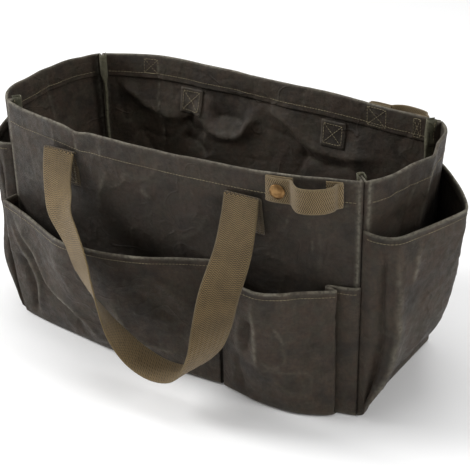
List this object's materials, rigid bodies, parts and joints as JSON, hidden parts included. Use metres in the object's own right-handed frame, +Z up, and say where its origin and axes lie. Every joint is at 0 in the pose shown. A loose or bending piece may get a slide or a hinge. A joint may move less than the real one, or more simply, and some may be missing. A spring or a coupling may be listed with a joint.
{
  "type": "garden tool bag",
  "caption": "Open-top rectangular garden tool bag in waxed canvas, with outside pockets on every side, webbing handles that hang outside and snap straps at the rim.",
  "frame": {"origin": "centre of the bag's bottom on the floor: midway between its four corner seams", "axes": "+X along the bag's long side, towards the end with the snap straps; +Y from front to back; +Z up"},
  "size_m": [0.553, 0.3533, 0.2541],
  "materials": {
    "waxed_canvas": "dark olive-brown waxed cotton canvas with pale wax creases",
    "binding_tape": "folded cotton seam tape, grey-green",
    "webbing": "tan-olive cotton herringbone webbing",
    "antique_brass": "antique brass, satin"
  },
  "bodies": {
    "root": {"bottom_panel": "waxed_canvas", "front_panel": "waxed_canvas", "back_panel": "waxed_canvas", "left_end_panel": "waxed_canvas", "right_end_panel": "waxed_canvas", "front_left_corner_binding": "binding_tape", "front_right_corner_binding": "binding_tape", "back_left_corner_binding": "binding_tape", "back_right_corner_binding": "binding_tape", "bottom_binding": "binding_tape", "front_wide_pocket": "waxed_canvas", "front_small_pocket": "waxed_canvas", "back_wide_pocket": "waxed_canvas", "back_small_pocket": "waxed_canvas", "left_end_pocket": "waxed_canvas", "right_end_pocket": "waxed_canvas", "front_handle_left_sewn_end": "webbing", "front_handle_left_patch": "waxed_canvas", "front_handle_right_sewn_end": "webbing", "front_handle_right_patch": "waxed_canvas", "front_snap_tab": "webbing", "front_strap_anchor": "webbing", "front_snap_post": "antique_brass", "front_snap_stud": "antique_brass", "back_handle_left_sewn_end": "webbing", "back_handle_left_patch": "waxed_canvas", "back_handle_right_sewn_end": "webbing", "back_handle_right_patch": "waxed_canvas", "back_snap_tab": "webbing", "back_strap_anchor": "webbing", "back_snap_post": "antique_brass", "back_snap_stud": "antique_brass"},
    "front_handle": {"front_handle": "webbing"},
    "front_strap": {"front_snap_strap": "webbing", "front_snap_cap": "antique_brass", "front_snap_socket": "antique_brass"},
    "back_handle": {"back_handle": "webbing"},
    "back_strap": {"back_snap_strap": "webbing", "back_snap_cap": "antique_brass", "back_snap_socket": "antique_brass"}
  },
  "joints": [
    {"name": "front_handle_swing", "type": "hinge", "parent": "root", "child": "front_handle", "pos_m": [-0.0095, -0.11262, 0.2265], "axis": [-1, 0.0065, 0], "range_deg": [0, 155]},
    {"name": "back_handle_swing", "type": "hinge", "parent": "root", "child": "back_handle", "pos_m": [-0.008, 0.10319, 0.2265], "axis": [0.9992, -0.0387, 0], "range_deg": [0, 155]},
    {"name": "front_strap_swing", "type": "hinge", "parent": "root", "child": "front_strap", "pos_m": [0.18963, -0.09558, 0.2408], "axis": [0, 0, 1], "range_deg": [0, 120]},
    {"name": "back_strap_swing", "type": "hinge", "parent": "root", "child": "back_strap", "pos_m": [0.18835, 0.08986, 0.24101], "axis": [0, 0, -1], "range_deg": [0, 120]}
  ]
}
